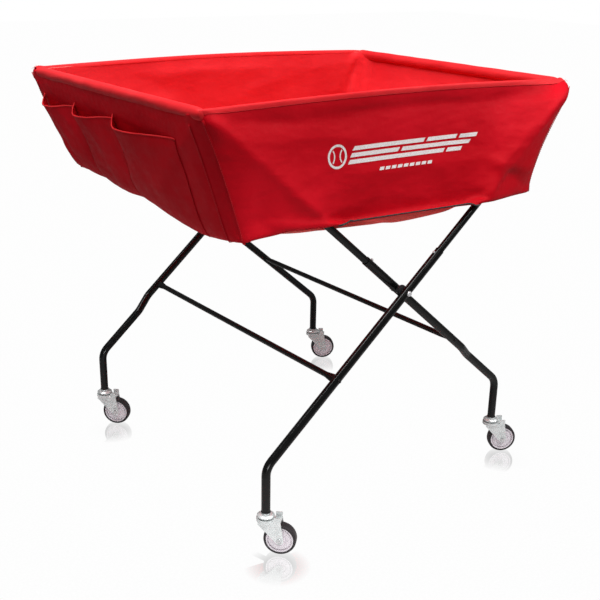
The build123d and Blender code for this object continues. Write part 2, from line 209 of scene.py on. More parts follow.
def loft(name, rings, look, caps=True):
    """Joins equal rings of points into one closed skin."""
    count = len(rings[0])
    points = [p for ring in rings for p in ring]
    faces = []
    for k in range(len(rings) - 1):
        for i in range(count):
            j = (i + 1) % count
            faces.append((k * count + i, k * count + j, (k + 1) * count + j, (k + 1) * count + i))
    if caps:
        last = (len(rings) - 1) * count
        faces.append(tuple(reversed(range(count))))
        faces.append(tuple(range(last, last + count)))
    return add_mesh(name, points, faces, look)


def strip(name, path, normals, width, thick, look):
    """A flat tape with rounded edges along a path: width across the path, thick along the normal."""
    profile = [(-1, -0.35), (-0.86, -1), (0.86, -1), (1, -0.35), (1, 0.35), (0.86, 1), (-0.86, 1), (-1, 0.35)]
    rings = []
    for k, (point, normal) in enumerate(zip(path, normals)):
        ahead = path[min(k + 1, len(path) - 1)] - path[max(k - 1, 0)]
        side = ahead.cross(normal).normalized()
        up = side.cross(ahead).normalized()
        if up.dot(normal) < 0:
            up = -up
        rings.append([point + side * (u * width / 2) + up * (v * thick / 2) for u, v in profile])
    return loft(name, rings, look)


def stitches(name, path, normals, look, pitch=0.0046, length=0.0030, radius=0.00042):
    """A row of short raised threads along a path, as one mesh."""
    points, faces = [], []
    travelled, due = 0.0, pitch
    for k in range(len(path) - 1):
        start, end = path[k], path[k + 1]
        step = (end - start).length
        while travelled + step >= due:
            share = (due - travelled) / step
            centre = start.lerp(end, share) + normals[k] * radius * 0.4
            along = (end - start).normalized()
            side = along.cross(normals[k]).normalized()
            base = len(points)
            for offset, size in ((-0.5, 0.35), (-0.25, 1.0), (0.25, 1.0), (0.5, 0.35)):
                middle_point = centre + along * (length * offset)
                for turn in range(5):
                    angle = turn * math.tau / 5
                    arm = side * math.cos(angle) + normals[k] * math.sin(angle)
                    points.append(middle_point + arm * (radius * size))
            for ring in range(3):
                for turn in range(5):
                    a, b = base + ring * 5 + turn, base + ring * 5 + (turn + 1) % 5
                    faces.append((a, b, b + 5, a + 5))
            faces.append(tuple(base + 4 - turn for turn in range(5)))
            faces.append(tuple(base + 15 + turn for turn in range(5)))
            due += pitch
        travelled += step
    return add_mesh(name, points, faces, look)


def thicken(piece, thickness, levels=1):
    """Gives a cloth sheet its thickness, then rounds its facets."""
    solid = piece.modifiers.new("thickness", "SOLIDIFY")
    solid.thickness = thickness
    solid.offset = 0.0
    if levels:
        rounded = piece.modifiers.new("rounding", "SUBSURF")
        rounded.levels = levels
        rounded.render_levels = levels


# ---- materials ---------------------------------------------------------------------------------
class Look:
    """Builds one node material; a value may be a number, a colour or another node's output."""

    def __init__(self, name):
        self.material = bpy.data.materials.new(name)
        self.material.use_nodes = True
        self.tree = self.material.node_tree
        self.tree.nodes.clear()

    def node(self, kind, inputs=None, output=0, **settings):
        made = self.tree.nodes.new(kind)
        for key, value in settings.items():
            setattr(made, key, value)
        for key, value in (inputs or {}).items():
            socket = made.inputs[key]
            if isinstance(value, bpy.types.NodeSocket):
                self.tree.links.new(value, socket)
            else:
                socket.default_value = value
        return made.outputs[output] if made.outputs else None

    def place(self, kind="Object"):
        made = self.tree.nodes.new("ShaderNodeTexCoord")
        return made.outputs[kind]

    def noise(self, scale, detail=3.0, where=None, roughness=0.55):
        where = where or self.place()
        inputs = {"Vector": where, "Scale": scale, "Detail": detail, "Roughness": roughness}
        return self.node("ShaderNodeTexNoise", inputs)

    def math(self, operation, a, b=0.0):
        return self.node("ShaderNodeMath", {0: a, 1: b}, operation=operation)

    def spread(self, value, low, high, to_low=0.0, to_high=1.0):
        inputs = {"Value": value, "From Min": low, "From Max": high, "To Min": to_low, "To Max": to_high}
        return self.node("ShaderNodeMapRange", inputs)

    def mix(self, share, a, b, kind="MIX"):
        inputs = {"Factor": share, "A": a, "B": b}
        made = self.tree.nodes.new("ShaderNodeMix")
        made.data_type = "RGBA"
        made.blend_type = kind
        for key, index in (("Factor", 0), ("A", 6), ("B", 7)):
            value = inputs[key]
            if isinstance(value, bpy.types.NodeSocket):
                self.tree.links.new(value, made.inputs[index])
            else:
                made.inputs[index].default_value = value
        return made.outputs[2]

    def bump(self, height, distance, strength=1.0, normal=None):
        inputs = {"Height": height, "Distance": distance, "Strength": strength}
        if normal is not None:
            inputs["Normal"] = normal
        return self.node("ShaderNodeBump", inputs)

    def finish(self, shader):
        self.node("ShaderNodeOutputMaterial", {"Surface": shader})
        return self.material


def weave(look, pitch):
    """Height of a plain weave whose threads are pitch apart, from the cloth's own UV in metres."""
    where = look.place("UV")
    wave_scale = 0.314 / (2 * pitch)
    height = None
    for direction in ("X", "Y"):
        wave = look.node(
            "ShaderNodeTexWave",
            {"Vector": where, "Scale": wave_scale, "Distortion": 0.6, "Detail": 1.0, "Detail Scale": 2.0},
            output=1, wave_type="BANDS", bands_direction=direction,
        )
        height = wave if height is None else look.math("MAXIMUM", height, wave)
    return height


def red_cloth(name, deep, bright, glow, gloss=0.55):
    """Coated polyester: a fine weave, soft rumples and some light through the cloth."""
    look = Look(name)
    threads = weave(look, 0.0011)
    broad = look.noise(5.0, 4.0)
    patches = look.spread(broad, 0.35, 0.65)
    colour = look.mix(patches, deep, bright)
    # The weave's low places are darkened and its thread tops lightened a little: painted shade between the
    # threads and painted highlight on them.
    shade = look.spread(threads, 0.0, 1.0, 0.86, 1.04)
    grey = look.node("ShaderNodeCombineColor", {0: shade, 1: shade, 2: shade})
    colour = look.mix(1.0, colour, grey, "MULTIPLY")
    slanted = look.node("ShaderNodeMapping", {"Vector": look.place(), "Rotation": (0.0, 0.7, 0.0), "Scale": (1, 1, 2.6)})
    rumple = look.bump(look.noise(9.0, 2.0, slanted), 0.012, 0.35)
    rumple = look.bump(look.noise(26.0, 3.0), 0.0035, 0.45, rumple)
    normal = look.bump(threads, 0.00025, 0.6, rumple)
    roughness = look.spread(look.noise(90.0, 2.0), 0.3, 0.7, gloss - 0.07, gloss + 0.07)
    surface = look.node("ShaderNodeBsdfPrincipled", {
        "Base Color": colour, "Roughness": roughness, "Specular IOR Level": 0.08, "Normal": normal,
    })
    through = look.node("ShaderNodeBsdfTranslucent", {"Color": bright, "Normal": normal})
    return look.finish(look.node("ShaderNodeMixShader", {0: glow, 1: surface, 2: through}))


def tape_look(name, colour, lighter, pitch=0.0016):
    """Grosgrain tape: close ribs across, paler in random patches."""
    look = Look(name)
    ribs = look.node(
        "ShaderNodeTexWave", {"Vector": look.place(), "Scale": 0.314 / (2 * pitch), "Distortion": 0.4},
        output=1, wave_type="BANDS", bands_direction="DIAGONAL",
    )
    tint = look.mix(look.spread(look.noise(300.0), 0.45, 0.75), colour, lighter)
    surface = look.node("ShaderNodeBsdfPrincipled", {
        "Base Color": tint, "Roughness": 0.72, "Normal": look.bump(ribs, 0.0003, 0.7), "Sheen Weight": 0.05,
    })
    return look.finish(surface)


def powder_coat(name, dark, scuff, gloss):
    """Satin black powder coat: orange peel and a few paler scuffs."""
    look = Look(name)
    peel = look.noise(500.0, 2.0)
    marks = look.spread(look.noise(38.0, 8.0, roughness=0.75), 0.66, 0.78)
    colour = look.mix(look.math("MULTIPLY", marks, 0.25), dark, scuff)
    roughness = look.spread(look.noise(60.0, 4.0), 0.3, 0.7, gloss - 0.04, gloss + 0.06)
    surface = look.node("ShaderNodeBsdfPrincipled", {
        "Base Color": colour, "Roughness": roughness, "Specular IOR Level": 0.30,
        "Normal": look.bump(peel, 0.00002, 0.2),
    })
    return look.finish(surface)


def zinc_plate(name, light, dull, gloss):
    """Bright zinc: brushed and slightly blotched, dulled in spots."""
    look = Look(name)
    stretched = look.node("ShaderNodeMapping", {"Vector": look.place(), "Scale": (1.0, 1.0, 9.0)})
    brush = look.noise(260.0, 2.0, stretched)
    blotch = look.spread(look.noise(70.0, 5.0), 0.38, 0.66)
    colour = look.mix(blotch, light, dull)
    roughness = look.spread(look.noise(140.0, 3.0), 0.3, 0.7, gloss - 0.08, gloss + 0.12)
    surface = look.node("ShaderNodeBsdfPrincipled", {
        "Base Color": colour, "Metallic": 0.45, "Roughness": roughness,
        "Normal": look.bump(brush, 0.00003, 0.3),
    })
    return look.finish(surface)


def moulded(name, colour, tinge, gloss, grain=650.0, depth=0.00015, sheen=0.0):
    """Moulded plastic or rubber: a fine grain, slow colour drift and rubbed patches."""
    look = Look(name)
    drift = look.spread(look.noise(45.0, 5.0), 0.35, 0.7)
    tint = look.mix(drift, colour, tinge)
    roughness = look.spread(look.noise(120.0, 3.0), 0.3, 0.7, gloss - 0.07, gloss + 0.08)
    surface = look.node("ShaderNodeBsdfPrincipled", {
        "Base Color": tint, "Roughness": roughness, "Specular IOR Level": 0.4,
        "Normal": look.bump(look.noise(grain, 3.0), depth, 0.6), "Sheen Weight": sheen,
    })
    return look.finish(surface)


def print_ink(name):
    """Screen-print ink: off-white, slightly broken by the weave under it."""
    look = Look(name)
    gaps = look.spread(look.noise(700.0, 2.0), 0.3, 0.62)
    colour = look.mix(gaps, (0.62, 0.46, 0.46, 1), (0.86, 0.84, 0.83, 1))
    surface = look.node("ShaderNodeBsdfPrincipled", {
        "Base Color": colour, "Roughness": 0.55, "Normal": look.bump(look.noise(900.0), 0.0001, 0.5),
    })
    return look.finish(surface)


# The outer and inner cloths are one fabric in two copies: the inner copy is painted lighter and greyer as
# painted light for the strong light inside the hopper, the outer copy darker as painted shade.
SHADED_OUTER_RED = red_cloth("shaded_outer_red", (0.52, 0.001, 0.008, 1), (0.62, 0.003, 0.013, 1), 0.08)
LIT_INNER_RED = red_cloth("lit_inner_red", (0.74, 0.018, 0.026, 1), (0.84, 0.028, 0.036, 1), 0.25)
# Painted light: the bag's pale pink base colour stands in for light shining through the thin cloth; the
# translucent share of the shader is real.
BACKLIT_BAG_RED = red_cloth("backlit_bag_red", (0.86, 0.20, 0.18, 1), (0.94, 0.30, 0.27, 1), 0.55)
# Painted sheen: the hem cloth is the same red made lighter and pinker, standing in for the sheen on the rolled
# hems, pocket mouths and rail sleeves.
SHEEN_HEM_RED = red_cloth("sheen_hem_red", (0.68, 0.018, 0.024, 1), (0.78, 0.030, 0.036, 1), 0.05, 0.42)
THREAD = tape_look("red_thread", (0.60, 0.006, 0.014, 1), (0.78, 0.02, 0.03, 1), 0.0008)
BLACK_TAPE = tape_look("black_tape", (0.012, 0.012, 0.013, 1), (0.05, 0.045, 0.045, 1))
INK = print_ink("print_ink")
SLOT_LOOKS = {
    "black_tube": powder_coat("black_tube", (0.002, 0.002, 0.002, 1), (0.012, 0.012, 0.012, 1), 0.20),
    "black_crossbar": powder_coat("black_crossbar", (0.003, 0.002, 0.002, 1), (0.016, 0.013, 0.012, 1), 0.30),
    "zinc": zinc_plate("zinc", (0.80, 0.83, 0.83, 1), (0.68, 0.71, 0.71, 1), 0.30),
    "fastener": zinc_plate("fastener", (0.74, 0.74, 0.75, 1), (0.45, 0.45, 0.46, 1), 0.26),
    "spring_steel": zinc_plate("spring_steel", (0.5, 0.5, 0.5, 1), (0.3, 0.3, 0.32, 1), 0.35),
    "black_nylon": moulded("black_nylon", (0.012, 0.011, 0.012, 1), (0.03, 0.028, 0.03, 1), 0.5),
    "wheel_core": moulded("wheel_core", (0.82, 0.77, 0.81, 1), (0.74, 0.68, 0.73, 1), 0.45, 160.0, 0.00005),
    "tyre": moulded("tyre", (0.010, 0.007, 0.009, 1), (0.022, 0.015, 0.019, 1), 0.62, 500.0, 0.0003, 0.1),
}


# ---- the shape of the hopper's cloth -----------------------------------------------------------
def seam_point(corner, t):
    """A point on one of the four upright seams: t is 0 at the bottom and 1 at the rim."""
    sign_x = 1 if "right" in corner else -1
    sign_y = 1 if "rear" in corner else -1
    foot_x, foot_y, foot_z = SEAM_FEET.get(corner, (BOTTOM_X, BOTTOM_Y, BOTTOM_Z))
    reach = lerp(foot_x, RIM_X - 0.002, t ** SEAM_CURVE[corner])
    depth = lerp(foot_y, CORNER_Y, t) + 0.006 * math.sin(math.pi * t)
    if corner in OUTER_CORNERS:
        depth += np.interp(t, WRAP_AT, WRAP_OUT)
        reach += np.interp(t, WRAP_AT, WRAP_SIDE)
    return Vector((sign_x * reach, sign_y * depth, lerp(foot_z, CORNER_Z, t)))


def drag_lines(u, v, corner, reach, spokes, seed):
    """Creased folds that fan out from a corner of a panel and die away: 0.5 on a crease, less beside it."""
    across, up = u - corner[0], v - corner[1]
    far = math.hypot(across, up)
    fade = math.exp(-far / reach) * clamp(far / 0.06)
    return fade * (0.5 - 1.6 * abs(ripple(math.atan2(up, across) * spokes, seed, far * 2.0)))


def fold_height(u, v, folds):
    """Height of creased folds at a place on a panel: each runs along a line, steep on one side."""
    total = 0.0
    for (u0, v0), (u1, v1), height, steep, gentle in folds:
        run_u, run_v = u1 - u0, v1 - v0
        length = math.hypot(run_u, run_v)
        along = ((u - u0) * run_u + (v - v0) * run_v) / length ** 2
        beside = ((u - u0) * run_v - (v - v0) * run_u) / length
        wander = 0.006 * ripple(along * 3.0, u0 * 9.0, v1 * 9.0)
        beside += wander
        if -0.15 < along < 1.15:
            width = steep if beside > 0 else gentle
            fade = smooth((along + 0.15) / 0.3) * smooth((1.15 - along) / 0.3)
            total += height * fade * math.exp(-abs(beside) / width)
    return total


def crease(points, spans, long_folds, end_folds):
    """Presses the folds into settled cloth: spans are its (cells, is_long, side) round the band."""
    column = 0
    top = points.shape[1] - 1
    for cells, is_long, side in spans:
        for step in range(cells):
            edge = math.sin(math.pi * step / cells) ** 0.4
            for row in range(top):
                x, y, z = points[column, row]
                near_rim = smooth((top - row) / 4.0)
                folds = long_folds if is_long else end_folds
                place = (-x * side, z) if is_long else (y * -side, z)
                axis = 1 if is_long else 0
                points[column, row, axis] += side * edge * near_rim * fold_height(*place, folds)
            column += 1
    return points


def leg_hollow(x, z, seam_x):
    """How far, from 0 to 1, cloth sinks between the taut lines over the legs and the seams."""
    at = leg_x(clamp(z, BOTTOM_Z, BEND_Z))
    up = clamp((z - BOTTOM_Z) / (BEND_Z - BOTTOM_Z))
    if abs(x) < at:
        return math.sin(math.pi * up ** 0.7) * (1 - (x / at) ** 2)
    share = clamp((abs(x) - at) / max(abs(seam_x) - at, 0.01))
    return 4 * share * (1 - share) * (1 - up ** 2)


def stretched_depth(x, z, seam_x, seam_depth):
    """Depth of cloth pulled over two legs; x above 0 is the outer leg's side."""
    over_outer = OUTER_Y + TUBE_R + CLEAR
    over_inner = INNER_Y + TUBE_R + CLEAR
    at = leg_x(clamp(z, BOTTOM_Z, BEND_Z))
    near_rim = smooth((z - BEND_Z) / (RIM_Z - BEND_Z))
    rim_depth = CORNER_Y + 0.003
    outer = lerp(over_outer, rim_depth, near_rim)
    inner = lerp(over_inner, rim_depth, near_rim)
    if x > at:
        return lerp(outer, seam_depth, clamp((x - at) / max(seam_x - at, 0.01)))
    if x < -at:
        return lerp(inner, seam_depth, clamp((-x - at) / max(seam_x - at, 0.01)))
    across = (x + at) / (2 * at)
    level = lerp(inner, outer, across)
    up = clamp((z - BOTTOM_Z) / (RIM_Z - BOTTOM_Z))
    exit_x = leg_x(BOTTOM_Z)
    hanging = lerp(over_inner, over_outer, clamp((x + exit_x) / (2 * exit_x)))
    slack = lerp(hanging, rim_depth, up ** 0.85)
    held = abs(x / at) ** 2.6
    return lerp(slack, level, held)


def front_or_rear(side, a, t):
    """The outer panel: side -1 is the front, +1 the rear; a runs from one seam to the other."""
    start, end = ("front_left", "front_right") if side < 0 else ("rear_right", "rear_left")
    low, high = seam_point(start, t), seam_point(end, t)
    x = lerp(low.x, high.x, a)
    z = lerp(low.z, high.z, a) + RIM_BOW * math.sin(math.pi * a) * t
    local_x = x * -side
    seam = high if local_x > 0 else low
    depth = stretched_depth(local_x, z, abs(seam.x), abs(seam.y))
    depth -= SINK * leg_hollow(local_x, z, seam.x)
    fade = math.sin(math.pi * a) * math.sin(math.pi * clamp(t, 0.0, 0.96) ** 0.7)
    depth += RUMPLE * fade * ripple(local_x * 4.5, z * 7.0, side * 2.0)
    for corner, spokes in (((RIM_X, CORNER_Z), 7.0), ((-RIM_X, CORNER_Z), 7.0),
                           ((leg_x(BOTTOM_Z), BOTTOM_Z), 4.0), ((-leg_x(BOTTOM_Z), BOTTOM_Z), 4.0),
                           ((BOTTOM_X, BOTTOM_Z), 6.0), ((-BOTTOM_X, BOTTOM_Z), 6.0)):
        depth += DRAG * fade * drag_lines(local_x, z, corner, 0.20, spokes, side * 5 + spokes)
    return Vector((x, side * depth, z))


def left_or_right(side, b, t):
    """The end panel: side -1 is the left, +1 the right; b runs from one seam to the other."""
    start, end = ("front_right", "rear_right") if side > 0 else ("rear_left", "front_left")
    low, high = seam_point(start, t), seam_point(end, t)
    bell = math.sin(math.pi * b) ** 0.55 if 0 < b < 1 else 0.0
    middle_x = lerp(BOTTOM_X, RIM_X - 0.004, t ** 1.12) + 0.005 * math.sin(math.pi * t)
    x = lerp(lerp(low.x, high.x, b), side * middle_x, bell)
    y = lerp(low.y, high.y, b)
    sleeve_drop = 0.012 * smooth(bell * 2.0) * t
    wave = np.interp(b, HEM_WAVE_AT, HEM_WAVE) * (1 - t) ** 1.5
    z = lerp(low.z, high.z, b) - sleeve_drop + wave
    fade = math.sin(math.pi * b) * math.sin(math.pi * clamp(t, 0.0, 0.96) ** 0.7)
    x += side * RUMPLE * fade * ripple(y * 6.0, z * 7.0, side * 4.0)
    for sign in (-1, 1):
        x += side * DRAG * fade * drag_lines(y, z, (sign * CORNER_Y, CORNER_Z), 0.20, 7.0, side * 3 + sign)
        x += side * DRAG * fade * drag_lines(y, z, (sign * BOTTOM_Y, BOTTOM_Z), 0.20, 6.0, side * 9 + sign)
    return Vector((x, y, z))


def around(column, t):
    """A point of the outer cloth's band, counting columns round the rim from the front left seam."""
    spans = ((FRONT_CELLS, front_or_rear, -1), (END_CELLS, left_or_right, 1),
             (FRONT_CELLS, front_or_rear, 1), (END_CELLS, left_or_right, -1))
    for cells, surface, side in spans:
        if column < cells:
            return surface(side, column / cells, t)
        column -= cells
    return surface(side, 1.0, t)


# ---- a small cloth solver: threads that keep their length, gravity and the tubes under the cloth ---
def leg_path(turn, depth):
    """Points down the middle of one upper leg and its bend, and the room each one needs."""
    down = np.array((-math.cos(TILT), 0.0, -math.sin(TILT)))
    out = np.array((0.0, math.copysign(1.0, depth), 0.0))
    centre = np.array((RAIL_X, 0.0, RAIL_Z)) + out * (abs(depth) - RAIL_BEND) + down * RAIL_BEND
    angles = np.linspace(0.0, math.pi / 2, 14)
    bend = [centre + RAIL_BEND * (out * math.sin(a) - down * math.cos(a)) for a in angles]
    leg = [bend[-1] + down * step for step in np.arange(0.005, 0.37, 0.005)]
    room = [TUBE_R + 2.2 * CLEAR] * len(bend) + [TUBE_R + CLEAR] * len(leg)
    return [p * (turn, turn, 1) for p in bend + leg], room


def tube_line():
    """The four upper legs' points and rooms together."""
    points, room = [], []
    for turn, depth in LEGS.values():
        path, needed = leg_path(turn, depth)
        points += path
        room += needed
    return np.array(points), np.array(room)


LEGS = {
    "a_outer": (1, -OUTER_Y), "a_inner": (1, INNER_Y),
    "b_outer": (-1, -OUTER_Y), "b_inner": (-1, INNER_Y),
}
TUBES, ROOM = tube_line()


def outward_normals(points):
    round_it = np.roll(points, -1, 0) - np.roll(points, 1, 0)
    up = np.gradient(points, axis=1)
    normals = np.cross(round_it, up)
    return normals / np.linalg.norm(normals, axis=2, keepdims=True)


def lift_over_tubes(points, side):
    """Moves cloth along its normal until it clears every tube: side is 1 outward, -1 inward."""
    flat = points.reshape(-1, 3)
    normals = outward_normals(points).reshape(-1, 3) * side
    gap = TUBES[None] - flat[:, None]
    along = np.einsum("vtk,vk->vt", gap, normals)
    root = ROOM ** 2 - (np.einsum("vtk,vtk->vt", gap, gap) - along ** 2)
    leave = along + np.sqrt(np.maximum(root, 0.0))
    leave = np.where((root > 0) & (leave > 0) & (leave < 0.05), leave, 0.0)
    return (flat + normals * leave.max(axis=1)[:, None]).reshape(points.shape)


def slide_off_tubes(points, near):
    """Keeps the nearby cloth clear of the tubes."""
    some = points[near]
    gap = some[:, None] - TUBES[None]
    span = np.linalg.norm(gap, axis=2)
    closest = span.argmin(axis=1)
    rows = np.arange(len(some))
    reach = span[rows, closest]
    push = gap[rows, closest] / reach[:, None] * np.maximum(ROOM[closest] - reach, 0.0)[:, None]
    points[near] = some + push
    return points


def thread_batches(columns, rows):
    """Pairs of grid points joined by threads, batched so that no point is in a batch twice."""
    every_row = np.arange(rows)
    batches = []
    for dc, dr, pull in ((1, 0, 1.0), (0, 1, 1.0), (1, 1, 0.45), (1, -1, 0.45), (2, 0, 0.10), (0, 2, 0.10)):
        for odd in (0, 1):
            keep_c = np.arange(columns)
            keep_r = every_row[max(0, -dr):rows - max(0, dr)]
            if dc:
                keep_c = keep_c[(keep_c // dc) % 2 == odd]
            else:
                keep_r = keep_r[(keep_r // dr) % 2 == odd]
            c, r = np.meshgrid(keep_c, keep_r, indexing="ij")
            batches.append(((c.ravel(), r.ravel()), ((c.ravel() + dc) % columns, r.ravel() + dr), pull))
    return batches


def settle(points, hold, target, slack, steps, tubes=True):
    """Lets the cloth hang: hold is how firmly each point is kept at its target."""
    batches = thread_batches(*points.shape[:2])
    lengths = [np.linalg.norm(points[a] - points[b], axis=1) * slack for a, b, _ in batches]
    near = np.linalg.norm(points[:, :, None] - TUBES[None, None, ::6], axis=3).min(axis=2) < 0.05
    start, speed = points.copy(), np.zeros_like(points)
    for step in range(steps):
        before = points.copy()
        points = points + speed + (0.0, 0.0, -0.00022)
        share = min(1.0, (step + 1) / (0.5 * steps))
        for _ in range(6):
            for (a, b, pull), length in zip(batches, lengths):
                line = points[b] - points[a]
                span = np.linalg.norm(line, axis=1)
                fix = line * (0.5 * pull * (span - length) / span)[:, None]
                points[a] += fix
                points[b] -= fix
            points = lerp(points, lerp(start, target, share), hold[..., None])
        if tubes:
            points = slide_off_tubes(points, near)
        speed = (points - before) * 0.90
    return points


def relax(points, passes, weight):
    """Laplacian smoothing of a closed band of columns; the rim row keeps its height."""
    for _ in range(passes):
        mean = (np.roll(points, 1, 0) + np.roll(points, -1, 0)) / 2
        inner = mean.copy()
        inner[:, 1:-1] = (mean[:, 1:-1] + (points[:, :-2] + points[:, 2:]) / 2) / 2
        points = lerp(points, inner, weight)
    return points


def shell_holds(points):
    """How firmly the shell is held, and where to: sewn at the rim and tugged at the lower corners."""
    hold = np.zeros(points.shape[:2])
    target = points.copy()
    hold[:, -1] = 1.0
    hold[:, 0] = 0.05
    for column in SEAM_COLUMNS.values():
        for offset in (-1, 0, 1):
            at = (column + offset) % COLUMNS
            hold[at, 0] = 0.8
            hold[at, -3:] = 1.0
            target[at, 0] += np.sign(points[at, 0]) * (0.003, 0.002, 0) + (0, 0, -0.004)
    for column in range(COLUMNS):
        x, y, _ = points[column, 0]
        on_leg = abs(abs(x) - leg_x(BOTTOM_Z)) < 0.012 and abs(y) > BOTTOM_Y - 0.02
        if on_leg:
            hold[column, 0] = 0.6
            target[column, 0] += (0, 0, -0.003)
    return hold, target


COLUMNS = 2 * (FRONT_CELLS + END_CELLS)
SEAM_COLUMNS = {
    "front_left": 0, "front_right": FRONT_CELLS,
    "rear_right": FRONT_CELLS + END_CELLS, "rear_left": 2 * FRONT_CELLS + END_CELLS,
}


def outer_shell_points():
    points = np.array([
        [around(c, r / SHELL_ROWS) for r in range(SHELL_ROWS + 1)] for c in range(COLUMNS)
    ])
    rim = points[:, -1].copy()
    points = relax(points, 5, 0.6)
    points[:, -1] = lerp(points[:, -1], rim, 0.5)
    points = lift_over_tubes(points, 1)
    hold, target = shell_holds(points)
    steps = 45
    points = settle(points, hold, target, SHELL_SLACK, steps)
    spans = ((FRONT_CELLS, True, -1), (END_CELLS, False, 1), (FRONT_CELLS, True, 1), (END_CELLS, False, -1))
    points = crease(points, spans, LONG_FOLDS, END_FOLDS)
    points = lift_over_tubes(points, 1)
    points[..., 1] += MID_Y
    return points


def band_faces(columns, rows):
    return [
        (c * rows + r, ((c + 1) % columns) * rows + r, ((c + 1) % columns) * rows + r + 1, c * rows + r + 1)
        for c in range(columns) for r in range(rows - 1)
    ]


def arc_uvs(points):
    """UV in metres: distance round the band, and height up it."""
    step = np.linalg.norm(np.diff(points[:, 0], axis=0, prepend=points[:1, 0]), axis=1)
    u = np.cumsum(step)
    rise = np.linalg.norm(np.diff(points, axis=1, prepend=points[:, :1]), axis=2)
    v = np.cumsum(rise, axis=1)
    return [(float(u[c]), float(v[c, r])) for c in range(points.shape[0]) for r in range(points.shape[1])]


def outer_shell():
    points = outer_shell_points()
    rows = points.shape[1]
    flat = points.reshape(-1, 3)
    piece = add_mesh("hopper_shell", flat, band_faces(COLUMNS, rows), SHADED_OUTER_RED, uvs=arc_uvs(points))
    tree = BVHTree.FromPolygons([Vector(p) for p in flat], band_faces(COLUMNS, rows))
    thicken(piece, CLOTH)
    return piece, points, tree


# ---- the inner bag with its sagging floor --------------------------------------------------------
BAG_FRONT = 80
BAG_END = 60
BAG_ROWS = 28
BAG_COLUMNS = 2 * (BAG_FRONT + BAG_END)
BAG_BOTTOM_X = BOTTOM_X - 0.007
BAG_BOTTOM_Y = 0.352
BAG_SAG = 0.012


def bag_bottom_z(x):
    """The bag's bottom seam hangs lowest between the legs and rises to the ends."""
    return BOTTOM_Z + 0.012 - 0.038 * (1 - (x / BAG_BOTTOM_X) ** 2) ** 0.8


def bag_wall(side, a, t, lengthwise):
    """The bag's wall: lengthwise is the front or rear, held inside the legs."""
    top_z = CORNER_Z - 0.001
    reach_x = lerp(BAG_BOTTOM_X, RIM_X - 0.009, t ** 1.3)
    reach_y = lerp(BAG_BOTTOM_Y, CORNER_Y, t ** 0.8)
    bell = math.sin(math.pi * a) ** 0.6 if 0 < a < 1 else 0.0
    if lengthwise:
        x = lerp(-reach_x, reach_x, a) * -side
        foot_x = clamp(x, -BAG_BOTTOM_X, BAG_BOTTOM_X)
        z = lerp(bag_bottom_z(foot_x), top_z, t) + RIM_BOW * math.sin(math.pi * a) * t
        depth = reach_y + 0.011 * math.sin(math.pi * t) * bell
        for sign in (-1, 1):
            top = (sign * RIM_X, CORNER_Z)
            foot = (sign * BAG_BOTTOM_X, BOTTOM_Z)
            depth += DRAG * bell * drag_lines(x, z, top, 0.28, 7.0, 31.0 + side + sign) * (1 - t ** 8)
            depth += DRAG * bell * drag_lines(x, z, foot, 0.22, 6.0, 41.0 + side + sign) * (1 - t ** 8)
        return Vector((x, side * depth, z))
    z = lerp(bag_bottom_z(BAG_BOTTOM_X), top_z - 0.006 * smooth(bell * 2.0), t)
    return Vector((side * (reach_x - 0.004 * bell * (1 - t)), lerp(-reach_y, reach_y, a) * side, z))


def bag_around(column, t):
    spans = ((BAG_FRONT, True, -1), (BAG_END, False, 1), (BAG_FRONT, True, 1), (BAG_END, False, -1))
    for cells, lengthwise, side in spans:
        if column < cells:
            return bag_wall(side, column / cells, t, lengthwise)
        column -= cells
    return bag_wall(side, 1.0, t, lengthwise)


def bag_band():
    """The bag's walls, hung from the rim inside the legs and pulled down by the floor's corners."""
    rows = BAG_ROWS + 1
    band = np.array([[bag_around(c, r / BAG_ROWS) for r in range(rows)] for c in range(BAG_COLUMNS)])
    band = relax(band, 2, 0.5)
    band = lift_over_tubes(band, -1)
    hold = np.zeros(band.shape[:2])
    hold[:, -1] = 1.0
    hold[:, 0] = 0.25
    target = band.copy()
    for corner in (0, BAG_FRONT, BAG_FRONT + BAG_END, 2 * BAG_FRONT + BAG_END):
        hold[corner, 0] = 1.0
        target[corner, 0] += (0, 0, -0.006)
    steps = 35
    band = settle(band, hold, target, BAG_SLACK, steps)
    spans = ((BAG_FRONT, True, -1), (BAG_END, False, 1), (BAG_FRONT, True, 1), (BAG_END, False, -1))
    return crease(band, spans, BAG_FOLDS, ())


def bag_floor_point(i, j, edge):
    """A point of the sagging floor on a grid of FRONT by END cells, inside its seam line."""
    a, b = i / BAG_FRONT, j / BAG_END
    x, y = lerp(-BAG_BOTTOM_X, BAG_BOTTOM_X, a), lerp(-BAG_BOTTOM_Y, BAG_BOTTOM_Y, b)
    hang = (math.sin(math.pi * a) * math.sin(math.pi * b)) ** 0.6
    z = lerp(edge[i, 0].z, edge[i, BAG_END].z, b) - BAG_SAG * hang
    z += 0.004 * ripple(x * 6.0, y * 6.0, 70.0) * hang
    return Vector((x, y, z))


def bag_ring_index(i, j):
    """The wall column that a cell corner on the floor's edge shares."""
    if j == 0:
        return i
    if i == BAG_FRONT:
        return BAG_FRONT + j
    if j == BAG_END:
        return BAG_FRONT + BAG_END + (BAG_FRONT - i)
    return (2 * BAG_FRONT + BAG_END + (BAG_END - j)) % BAG_COLUMNS


def keep_inside(band, shell_tree):
    """Draws the bag's long walls in wherever they would touch the shell."""
    for column in band:
        for point in column[:-1]:
            side = math.copysign(1.0, point[1])
            hit = shell_tree.ray_cast(Vector((point[0], MID_Y, point[2])), Vector((0, side, 0)))[0]
            if hit is not None and abs(point[0]) < 0.98 * BAG_BOTTOM_X:
                point[1] = side * min(abs(point[1]), abs(hit.y - MID_Y) - 0.004)


